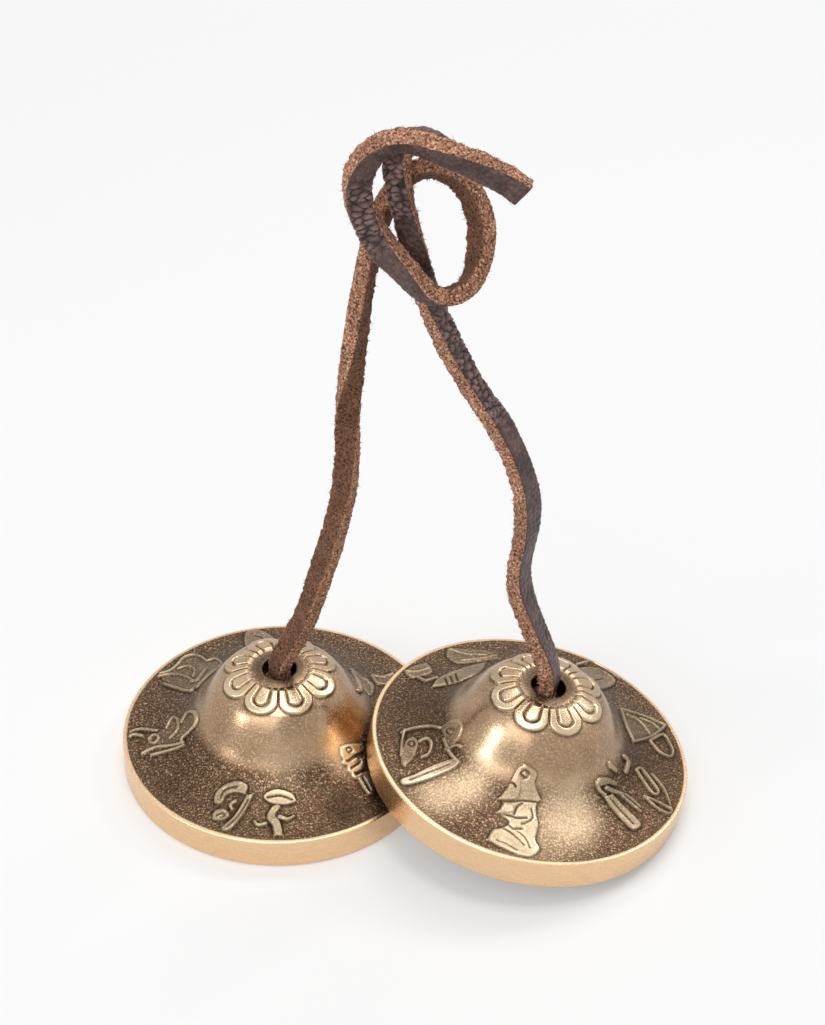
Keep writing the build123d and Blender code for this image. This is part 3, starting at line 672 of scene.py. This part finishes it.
def ornament_height(x, y, figures):
    """Height from 0 to 1 of the flange's figures over places in the cymbal's own plan, in mm."""
    height, cut = np.zeros(x.shape), np.zeros(x.shape)
    for kind, *facts, points in figures:
        line = soft_line(points, closed=kind == "plate")
        low, high = line.min(axis=0) - 1, line.max(axis=0) + 1
        near = (x > low[0]) & (x < high[0]) & (y > low[1]) & (y < high[1])
        if kind == "plate":
            rise = facts[0] * smooth_step(0.16, -0.14, plate_gap(x[near], y[near], line))
            height[near] = np.maximum(height[near], rise)
            continue
        gap, along = line_gap(x[near], y[near], line)
        if kind == "rib":
            half = facts[0] + (facts[1] - facts[0]) * along
            height[near] = np.maximum(height[near], smooth_step(0.16, -0.14, gap - half))
        else:
            cut[near] = np.maximum(cut[near], np.exp(-(gap / facts[0]) ** 2))
    return height * (1 - 0.75 * cut)


def blurred(height, reach):
    """The mean over a window of rows and columns, closed round each row."""
    total = np.zeros(height.shape)
    for shift in range(-reach, reach + 1):
        total += np.roll(height, shift, axis=1)
    padded = np.pad(total, ((reach, reach), (0, 0)), mode="edge")
    rows = height.shape[0]
    return sum(padded[k:k + rows] for k in range(2 * reach + 1)) / (2 * reach + 1) ** 2


def cymbal_mesh(name, sizes, figures, rubs_and_highlights, seed):
    """One cymbal, standing on its flat face at the origin, with lotus, relief and cast ground."""
    outline, crown, rim = cymbal_outline(sizes)
    turns = np.linspace(0, 2 * math.pi, sizes.spokes, endpoint=False)
    ahead = np.roll(outline, -1, axis=0) - np.roll(outline, 1, axis=0)
    normals = np.stack([-ahead[:, 1], ahead[:, 0]], axis=1)
    normals /= np.hypot(*normals.T)[:, None]
    far, high = outline[crown].T
    x, y = far[:, None] * np.cos(turns), far[:, None] * np.sin(turns)
    lotus = petal_height(y, x, sizes.petals)
    lotus *= smooth_step(13.0, 12.2, far)[:, None]
    relief = ornament_height(x, y, figures)
    fade = smooth_step(14.0, 19.0, far)[:, None]
    bell = smooth_step(18.8, 16.2, far)[:, None] + 0 * x
    cast = lattice_noise(x / 0.5, y / 0.5, seed) - 0.5
    lumps = lattice_noise(x / 3.4, y / 3.4, seed + 1) - 0.5
    wear = lattice_noise(x / 2.2, y / 2.2, seed + 2)
    edge_fade = smooth_step(31.9, 31.0, far)[:, None]
    raised = (lotus * sizes.petal_raise + relief * sizes.relief) / MM * np.maximum(edge_fade, 0.2)
    height = raised + (cast * 0.03 * fade + lumps * 0.1) * edge_fade
    points = np.zeros((len(outline), sizes.spokes, 3))
    shift = np.zeros((len(outline), sizes.spokes))
    shift[crown] = height
    radius = outline[:, 0][:, None] + shift * normals[:, 0][:, None]
    points[..., 0] = radius * np.cos(turns)
    points[..., 1] = radius * np.sin(turns)
    points[..., 2] = outline[:, 1][:, None] + shift * normals[:, 1][:, None]
    mean = blurred(raised, 4)
    polish, crevice, bells, rims, rub = (np.zeros(shift.shape) for _ in range(5))
    # Spots lightened by rubbing and by painted highlights, or darkened where the amount is below zero
    for mid_x, mid_y, reach, amount in rubs_and_highlights:
        rub[crown] += amount * np.exp(-((x - mid_x) ** 2 + (y - mid_y) ** 2) / (0.5 * reach ** 2))
    crest = np.clip((raised - mean) / 0.16, 0, 1)
    # Painted highlight: the relief's tops are brightest in the rubbed and lit spots and dimmer at the sides
    # and back
    shown = 0.3 + 0.7 * np.clip(1.7 * rub[crown], 0, 1)
    tops = (0.85 * relief + 0.45 * crest) * shown
    # Painted highlight: the front petals of the lotus are brighter than the back ones, as lit
    tops = tops + lotus * (1 - fade) * (0.25 + 0.5 * smooth_step(3.0, -5.0, y))
    polish[crown] = np.clip(tops, 0, 1) * (0.55 + 0.45 * wear)
    # Painted shade: recesses round the relief are darkened
    crevice[crown] = np.clip((mean - raised) / 0.2, 0, 1) * (relief + lotus < 0.7) * (0.5 + 0.5 * wear)
    # Painted shade: the hollow round the hole is darkened
    ring = smooth_step(6.6, 4.0, far)[:, None]
    crevice[crown] = np.maximum(crevice[crown], 0.55 * ring)
    bells[crown] = bell * (1 - 0.5 * ring)
    # Painted shade: the hole's wall is darkened
    crevice[:crown.start] = 0.8
    rims[rim] = 1.0
    # Painted highlight: a bright line along the rim's top edge, over the lip's last rows and the rim's first
    # rows
    rims[crown.stop - 3:crown.stop] = 0.5
    polish[rim.start - 2:rim.start + 3] = 0.45
    bells[rim.stop:] = 0.35
    run = np.concatenate([[0], np.cumsum(np.hypot(*np.diff(outline, axis=0).T))])
    mesh = grid_mesh(name, points * MM, wrap_rows=True)
    write_values(mesh, polish=polish, crevice=crevice, bell=bells, rim=rims, rub=rub,
                 run=run[:, None] * MM + 0 * shift)
    layer = mesh.attributes.new("cast_spot", "FLOAT_VECTOR", "POINT")
    layer.data.foreach_set("vector", (points * MM + seed * 0.1).astype(np.float32).ravel())
    shade_smooth(mesh)
    return mesh


def read_spline(points, steps):
    """Points read from the NURBS spline that has these control points."""
    curve = bpy.data.curves.new("lace_route", "CURVE")
    curve.dimensions = "3D"
    curve.resolution_u = steps
    spline = curve.splines.new("NURBS")
    spline.points.add(len(points) - 1)
    for point, place_at in zip(spline.points, points):
        point.co = (*place_at, 1)
    spline.order_u = 3
    spline.use_endpoint_u = True
    holder = bpy.data.objects.new("lace_route", curve)
    bpy.context.scene.collection.objects.link(holder)
    bpy.context.view_layer.update()
    mesh = bpy.data.meshes.new_from_object(holder)
    line = np.array([vertex.co for vertex in mesh.vertices])
    bpy.data.objects.remove(holder)
    bpy.data.curves.remove(curve)
    bpy.data.meshes.remove(mesh)
    return line


def strip_section(width, thickness, count):
    """A flat strip's section: places across and through it, each one's direction out and its way round."""
    half_w, half_t, soft = width / 2, thickness / 2, min(width, thickness) * 0.17
    corners = [(1, 1, 0), (-1, 1, 90), (-1, -1, 180), (1, -1, 270)]
    places = []
    for sx, sy, start in corners:
        for degrees in np.linspace(start, start + 90, 5):
            a = math.radians(degrees)
            places.append((
                sx * (half_w - soft) + soft * math.cos(a), sy * (half_t - soft) + soft * math.sin(a)))
    places = np.array(places + places[:1])
    runs = np.concatenate([[0], np.cumsum(np.hypot(*np.diff(places, axis=0).T))])
    marks = np.linspace(0, runs[-1], count, endpoint=False)
    section = np.stack([np.interp(marks, runs, places[:, 0]), np.interp(marks, runs, places[:, 1])], axis=1)
    ahead = np.roll(section, -1, axis=0) - np.roll(section, 1, axis=0)
    out = np.stack([ahead[:, 1], -ahead[:, 0]], axis=1)
    out /= np.hypot(*out.T)[:, None]
    return section, out, marks


class Lace:
    """A strip of leather along a route: its line, its skin and what each place of the skin is."""

    def __init__(self, route, turns, sizes, seed, creases=(), slim=(1.0, 1.0), steps=40, count=60):
        self.line = read_spline(route, steps)
        turn = np.radians(read_spline([(a, 0, 0) for a in turns], steps)[:, 0])
        rng = np.random.default_rng(seed)
        width, thick = sizes.width, sizes.thickness
        along = np.gradient(self.line, axis=0)
        along /= np.linalg.norm(along, axis=1)[:, None]
        axis = np.array(BEND_AXIS)
        aside = np.cross(axis, along)
        aside /= np.linalg.norm(aside, axis=1)[:, None]
        front = np.cross(aside, along)
        face = np.cos(turn)[:, None] * front - np.sin(turn)[:, None] * aside
        across = np.cross(along, face)
        section, out, marks = strip_section(width, thick, count)
        runs = np.concatenate([[0], np.cumsum(np.linalg.norm(np.diff(self.line, axis=0), axis=1))])
        self.length = runs[-1]
        s, q = np.meshgrid(runs, marks, indexing="ij")
        grain = smooth_step(0.55, 0.9, out[:, 1])[None, :] + 0 * s
        flesh = smooth_step(0.55, 0.9, -out[:, 1])[None, :] + 0 * s
        tight = np.zeros((len(runs), 1))
        for middle, reach in creases:
            away = np.linalg.norm(self.line - np.array(middle), axis=1)[:, None]
            tight = np.maximum(tight, smooth_step(1.15 * reach, 0.5 * reach, away))
        first, second = pebbles(q / sizes.pebble + 7, s / sizes.pebble, seed)
        seam = smooth_step(0.24, 0.02, second - first)
        wide_first, wide_second = pebbles(q / (sizes.pebble * 1.9), s / (sizes.pebble * 1.1), seed + 1)
        crack = smooth_step(0.16, 0.03, wide_second - wide_first) * tight
        dome = (1 - smooth_step(0.05, 0.8, wide_first)) * tight
        plain = 0.5 - 0.3 * tight
        top = 1 - smooth_step(0.1, 0.75, first)
        crease = np.clip(0.8 * seam * plain + crack, 0, 1)
        pebble = ((0.2 * top - 0.16 * seam) * plain + 0.3 * dome - 0.3 * crack) * MM
        # Below zero: pebble tops that get painted highlights; above zero: darkened creases and seams
        crease = crease - np.maximum(0.6 * top * plain, dome) * (1 - crease)
        rough = (lattice_noise(q / 0.0006, s / 0.0006, seed + 2) - 0.5) * 0.46 * MM
        slow = (lattice_noise(q / 0.004, s / 0.005, seed + 3) - 0.5) * 0.26 * MM
        push = grain * pebble + (1 - grain) * rough + slow
        taper = slim[0] + (slim[1] - slim[0]) * smooth_step(0.38, 0.55, runs / self.length)
        taper += 0.03 * np.sin(runs * 310.0 + seed)
        taper = taper[:, None]
        reach_w = section[:, 0][None, :] * taper + out[:, 0][None, :] * push
        reach_t = section[:, 1][None, :] + out[:, 1][None, :] * push
        self.skin = (self.line[:, None, :] + reach_w[..., None] * across[:, None, :]
                     + reach_t[..., None] * face[:, None, :])
        self.out = out[:, 0][None, :, None] * across[:, None, :] + out[:, 1][None, :, None] * face[:, None, :]
        self.grain, self.crease, self.flesh = grain, crease * grain, flesh
        self.along, self.rng, self.fibre = along, rng, sizes.fibre

    def fibres(self, rows, count):
        """Loose fibres on the raw sides, each a thin tapered spike."""
        raw = np.argwhere(self.grain[rows] < 0.25)
        picks = raw[self.rng.integers(0, len(raw), count)]
        i, j = picks[:, 0] + rows.start, picks[:, 1]
        foot = self.skin[i, j] - self.out[i, j] * 0.05 * MM
        lean = self.rng.normal(0, 0.55, (count, 3))
        way = self.out[i, j] + lean
        way /= np.linalg.norm(way, axis=1)[:, None]
        long = self.fibre * (0.25 + 0.75 * self.rng.random(count) ** 2.0)
        side = np.cross(way, self.along[i])
        side /= np.maximum(np.linalg.norm(side, axis=1), 1e-9)[:, None]
        other = np.cross(way, side)
        wide = 0.07 * MM
        corners = [foot + wide * side, foot + wide * (-0.5 * side + 0.87 * other),
                   foot + wide * (-0.5 * side - 0.87 * other), foot + way * long[:, None]]
        return np.stack(corners, axis=1)

    def mesh(self, name, rows, fibres=0, cap_end=True):
        """A closed mesh over some rows, with its fibres."""
        skin = self.skin[rows]
        count, columns = skin.shape[:2]
        quads = []
        for i in range(count - 1):
            base, above = i * columns, (i + 1) * columns
            for j in range(columns):
                k = (j + 1) % columns
                quads.append((base + j, base + k, above + k, above + j))
        points = skin.reshape(-1, 3).tolist()
        crease = self.crease[rows].ravel().tolist()
        flesh = self.flesh[rows].ravel().tolist()
        raw = [0.0] * len(points)
        sides = (self.grain[rows][:-1] + np.roll(self.grain[rows][:-1], -1, axis=1) < 1.0).ravel()
        for ring, flip in ((0, True), (count - 1, False)):
            if ring and not cap_end:
                continue
            previous = [ring * columns + j for j in range(columns)]
            middle = skin[ring].mean(axis=0)
            for share in (0.66, 0.33):
                start = len(points)
                inner = middle + (skin[ring] - middle) * share
                inner += self.rng.normal(0, 0.06 * MM, inner.shape)
                points.extend(inner.tolist())
                crease.extend([0.0] * columns)
                raw.extend([0.25] * columns)
                ringed = [start + j for j in range(columns)]
                for j in range(columns):
                    k = (j + 1) % columns
                    quad = (previous[j], previous[k], ringed[k], ringed[j])
                    quads.append(quad[::-1] if flip else quad)
                previous = ringed
            points.append(middle.tolist())
            crease.append(0.0)
            raw.append(0.25)
            for j in range(columns):
                face = (previous[j], previous[(j + 1) % columns], len(points) - 1)
                quads.append(face[::-1] if flip else face)
        if fibres:
            spikes = self.fibres(rows, fibres)
            shade = self.rng.random(fibres)
            for spike, dark in zip(spikes.tolist(), shade):
                start = len(points)
                points.extend(spike)
                crease.extend([0.0] * 4)
                raw.extend([float(dark)] * 4)
                quads.extend([(start, start + 1, start + 3), (start + 1, start + 2, start + 3),
                              (start + 2, start, start + 3)])
        mesh = bpy.data.meshes.new(name)
        mesh.from_pydata(points, [], quads)
        write_values(mesh, crease=crease, raw=raw, flesh=flesh + [0.0] * (len(points) - len(flesh)))
        kinds = np.ones(len(quads), dtype=np.int32)
        kinds[:len(sides)] = sides
        mesh.polygons.foreach_set("material_index", kinds)
        shade_smooth(mesh)
        return mesh


def down_the_hole(hinge, up):
    """Points that carry a lace from its hinge point down through the hole."""
    return [tuple(hinge - up * 0.0058), tuple(hinge - up * 0.0028), tuple(hinge)]


def cymbal_stand(mouth_rise, mouth, up):
    """Where a cymbal stands: its flat face's middle and its tilt."""
    turn = UP.rotation_difference(up).to_matrix().to_4x4()
    return Matrix.Translation(mouth - up * mouth_rise) @ turn


class TINGSHA_OT_cymbals(bpy.types.Operator):
    """Cast both cymbals with their lotus crowns and flange ornament"""
    bl_idname = "tingsha.cymbals"
    bl_label = "Cast Cymbals"

    def execute(self, context):
        sizes = context.scene.tingsha_cymbal
        bronze = bronze_finish(context.scene.tingsha_finish)
        rise = sizes.bell_height
        jobs = [
            ("left_bell", "left_cymbal", LEFT_FIGURES, LEFT_RUBS_AND_HIGHLIGHTS, 11, cymbal_stand(rise, LEFT_MOUTH, UP)),
            ("right_bell", "right_cymbal", RIGHT_FIGURES, RIGHT_RUBS_AND_HIGHLIGHTS, 23,
             cymbal_stand(rise + RIGHT_HINGE_RISE, RIGHT_HINGE, RIGHT_UP)),
        ]
        for name, node, figures, rubs_and_highlights, seed, stand in jobs:
            mesh = cymbal_mesh(name, sizes, figures, rubs_and_highlights, seed)
            mesh.transform(stand)
            bell = place(name, mesh, bronze)
            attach(bell, node)
            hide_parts(node)
        return {"FINISHED"}


class TINGSHA_OT_laces(bpy.types.Operator):
    """Thread the two leather laces and loop them together"""
    bl_idname = "tingsha.laces"
    bl_label = "Thread Laces"

    def execute(self, context):
        sizes = context.scene.tingsha_lace
        finish = context.scene.tingsha_finish
        leather = grain_finish(finish), suede_finish(finish)
        left = Lace(down_the_hole(LEFT_HINGE, UP) + LEFT_ROUTE, LEFT_TURNS[:2] + LEFT_TURNS, sizes, 3,
                    LEFT_CREASES, slim=(0.86, 1.0))
        whole = slice(0, len(left.line))
        strip = place("left_strip", left.mesh("left_strip", whole, fibres=3400), *leather)
        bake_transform(strip)
        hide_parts("left_lace")
        right = Lace(down_the_hole(RIGHT_HINGE, RIGHT_UP) + RIGHT_ROUTE, RIGHT_TURNS[:2] + RIGHT_TURNS, sizes,
                     5, RIGHT_CREASES, slim=(1.0, 0.86))
        rising = right.line[:len(right.line) // 2, 2]
        cut = int(np.argmin(np.abs(rising - RIGHT_SPLICE_HEIGHT)))
        lower, upper = slice(0, cut + 1), slice(cut, len(right.line))
        leg_mesh = right.mesh("right_strip_lower", lower, fibres=1200, cap_end=False)
        leg = place("right_strip_lower", leg_mesh, *leather)
        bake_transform(leg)
        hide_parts("right_lace_leg")
        top = place("right_strip_upper", right.mesh("right_strip_upper", upper, fibres=1300), *leather)
        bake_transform(top)
        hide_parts("right_lace_tail")
        lengths = np.linalg.norm(np.diff(right.line, axis=0), axis=1)
        lengths[:cut].sum()
        lengths[cut:].sum()
        return {"FINISHED"}


class TINGSHA_OT_knots(bpy.types.Operator):
    """Tie the stop knots under the two crowns"""
    bl_idname = "tingsha.knots"
    bl_label = "Tie Knots"

    def execute(self, context):
        sizes = context.scene.tingsha_lace
        finish = context.scene.tingsha_finish
        leather = grain_finish(finish), suede_finish(finish)
        turns_of_knot = [
            (0, 0, -2.2), (0.2, 0, -4.2), (2.4, -1.4, -5.4), (3.0, 1.6, -5.8), (0.2, 3.2, -5.6),
            (-2.9, 1.6, -5.4), (-2.8, -1.6, -5.8), (-0.2, -3.0, -6.8), (2.6, -1.8, -8.2), (2.4, 1.6, -8.6),
            (-0.4, 2.2, -8.2), (-1.6, 0.4, -8.0), (-0.2, -0.6, -9.2), (1.4, -0.2, -11.4), (2.2, 0.2, -13.6),
        ]
        right_mouth = RIGHT_HINGE - RIGHT_UP * RIGHT_HINGE_RISE
        for name, node, body, mouth, up, seed in (
                ("left_knot_tied", "left_stop_knot", "left_knot", LEFT_MOUTH, UP, 17),
                ("right_knot_tied", "right_stop_knot", "right_knot", right_mouth, RIGHT_UP, 19)):
            across = BEND_AXIS.cross(up).normalized()
            through = up.cross(across)
            basis = np.array([across, through, up])
            route = np.array(turns_of_knot) * MM @ basis + np.array(mouth)
            turns = [30 * k for k in range(len(route))]
            knot = Lace(route.tolist(), turns, KnotSizes(sizes), seed, steps=14, count=32)
            tied = place(name, knot.mesh(name, slice(0, len(knot.line)), fibres=260), *leather)
            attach(tied, body)
            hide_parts(node)
        return {"FINISHED"}


class KnotSizes:
    """The lace's sizes where it is pulled tight in a knot."""

    def __init__(self, sizes):
        self.width, self.thickness = sizes.width * 0.76, sizes.thickness * 0.9
        self.pebble, self.fibre = sizes.pebble, sizes.fibre


# Soft lamps: place and the height aimed at over the origin in metres, side in metres and power in watts
LAMPS = {
    "top_light": ((0.0, -0.05, 1.0), 0.03, 0.36, 2.5),
    "back_light": ((0.12, 0.50, 0.85), 0.03, 0.42, 1.7),
    "left_light": ((-0.84, -0.39, 0.43), 0.03, 0.17, 1.1),
    "right_light": ((0.60, 0.42, 0.68), 0.03, 0.2, 1.4),
    "front_light": ((-0.35, -0.55, 0.70), 0.05, 0.7, 2.6),
}


def area_light(name, spot, aim_height, size, power):
    lamp = bpy.data.lights.new(name, "AREA")
    lamp.shape = "SQUARE"
    lamp.size = size
    lamp.energy = power
    holder = bpy.data.objects.new(name, lamp)
    holder.location = spot
    holder.rotation_euler = (UP * aim_height - Vector(spot)).to_track_quat("-Z", "Y").to_euler()
    bpy.context.scene.collection.objects.link(holder)


class TINGSHA_OT_studio(bpy.types.Operator):
    """Set the camera, the pale floor and the soft light"""
    bl_idname = "tingsha.studio"
    bl_label = "Set Studio"

    def execute(self, context):
        studio = context.scene.tingsha_studio
        lens = bpy.data.cameras.new("camera")
        lens.sensor_fit = "VERTICAL"
        lens.sensor_height = 36
        lens.lens = studio.lens
        lens.clip_start = 0.01
        camera = bpy.data.objects.new("camera", lens)
        camera.location = studio.camera_at
        camera.rotation_euler = (math.pi / 2 - studio.camera_dip, 0, 0)
        context.scene.collection.objects.link(camera)
        context.scene.camera = camera
        recipe = Recipe("pale_floor")
        tree = recipe.tree
        path = recipe.add("ShaderNodeLightPath", {}, "Is Camera Ray").node
        seen = recipe.sum("MAXIMUM", path.outputs["Is Camera Ray"], path.outputs["Is Glossy Ray"])
        seen = recipe.sum("MAXIMUM", seen, path.outputs["Is Transmission Ray"])
        white = recipe.add("ShaderNodeEmission", {"Strength": 0.94})
        recipe.finish(**{"Base Color": (*studio.floor, 1), "Roughness": 0.9, "Specular IOR Level": 0.0})
        spot = recipe.add("ShaderNodeTexCoord", {}, "Object")
        away = recipe.add("ShaderNodeVectorMath", {0: spot}, "Value", operation="LENGTH")
        share = recipe.sum("MULTIPLY", seen, recipe.between(away, 0.2, 0.5, 0.33, 1.0))
        mixed = recipe.add("ShaderNodeMixShader", {0: share, 1: recipe.shader.outputs[0], 2: white})
        tree.links.new(mixed, tree.nodes["Material Output"].inputs["Surface"])
        reach = 3.0
        mesh = bpy.data.meshes.new("floor")
        mesh.from_pydata([(-reach, -reach, 0), (reach, -reach, 0), (reach, reach, 0), (-reach, reach, 0)], [],
                         [(0, 1, 2, 3)])
        floor = place("floor", mesh, recipe.material)
        floor.location.z = -0.0001
        world = bpy.data.worlds.new("studio_white")
        world.use_nodes = True
        context.scene.world = world
        tree = world.node_tree
        path = tree.nodes.new("ShaderNodeLightPath")
        seen = path.outputs["Is Camera Ray"]
        for ray in ("Is Glossy Ray", "Is Transmission Ray"):
            larger = tree.nodes.new("ShaderNodeMath")
            larger.operation = "MAXIMUM"
            tree.links.new(seen, larger.inputs[0])
            tree.links.new(path.outputs[ray], larger.inputs[1])
            seen = larger.outputs[0]
        level = tree.nodes.new("ShaderNodeMapRange")
        level.inputs["To Min"].default_value = 0.36
        level.inputs["To Max"].default_value = 1.0
        tree.links.new(seen, level.inputs["Value"])
        background = tree.nodes["Background"]
        background.inputs["Color"].default_value = (1, 1, 1, 1)
        tree.links.new(level.outputs[0], background.inputs["Strength"])
        for name, facts in LAMPS.items():
            area_light(name, *facts)
        context.scene.view_settings.view_transform = "Standard"
        return {"FINISHED"}


class TINGSHA_PT_panel(bpy.types.Panel):
    """The cymbals' steps and settings in the sidebar"""
    bl_idname = "TINGSHA_PT_panel"
    bl_label = "Tingsha Cymbals"
    bl_space_type = "VIEW_3D"
    bl_region_type = "UI"
    bl_category = "Tingsha"

    def draw(self, context):
        for step in STEPS:
            self.layout.operator(step.bl_idname)
        for group in GROUPS:
            settings = getattr(context.scene, group)
            for name in settings.bl_rna.properties.keys():
                if name not in {"rna_type", "name"}:
                    self.layout.prop(settings, name)


STEPS = [TINGSHA_OT_laces, TINGSHA_OT_cymbals, TINGSHA_OT_knots, TINGSHA_OT_studio]
GROUPS = {
    "tingsha_cymbal": CymbalSettings,
    "tingsha_lace": LaceSettings,
    "tingsha_finish": FinishSettings,
    "tingsha_studio": StudioSettings,
}


def register():
    for group in GROUPS.values():
        bpy.utils.register_class(group)
    for name, group in GROUPS.items():
        setattr(bpy.types.Scene, name, bpy.props.PointerProperty(type=group))
    for step in STEPS:
        bpy.utils.register_class(step)
    bpy.utils.register_class(TINGSHA_PT_panel)


def unregister():
    bpy.utils.unregister_class(TINGSHA_PT_panel)
    for step in reversed(STEPS):
        bpy.utils.unregister_class(step)
    for name, group in GROUPS.items():
        delattr(bpy.types.Scene, name)
        bpy.utils.unregister_class(group)


def main():
    """Build the part."""
    register()
    bpy.ops.tingsha.studio()
    bpy.ops.tingsha.laces()
    bpy.ops.tingsha.cymbals()
    bpy.ops.tingsha.knots()


if __name__ == "__main__":
    main()
